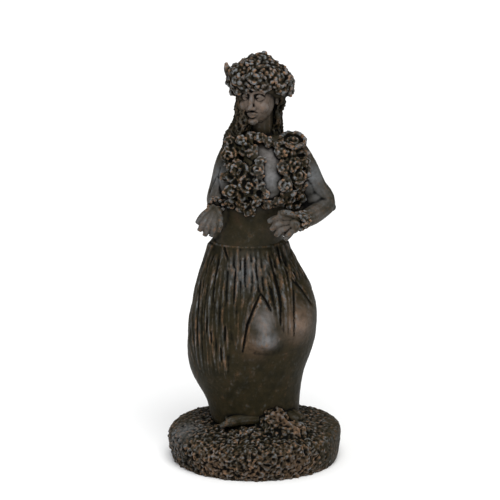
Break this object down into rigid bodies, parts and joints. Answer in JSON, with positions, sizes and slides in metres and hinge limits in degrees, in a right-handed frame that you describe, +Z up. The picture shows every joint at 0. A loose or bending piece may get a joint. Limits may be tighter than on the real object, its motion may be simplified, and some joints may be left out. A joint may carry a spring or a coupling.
{
  "type": "hula dancer statuette",
  "caption": "Cast stone-resin statuette of a hula dancer in a strand skirt, flower garland and wreath, standing on a rough oval mound",
  "frame": {"origin": "the middle of the mound's flat underside, on the surface that the statuette stands on", "axes": "+Z up along the standing figure, -Y the way that the figure's chest faces, +X to the viewer's right as seen from the front"},
  "size_m": [0.0839, 0.0771, 0.2002],
  "materials": {
    "cast_stone": "satin, dark brown-black, with warm brown rubbed high spots and a cool sheen on smooth areas"
  },
  "bodies": {
    "root": {"hula_dancer": "cast_stone"}
  },
  "joints": []
}
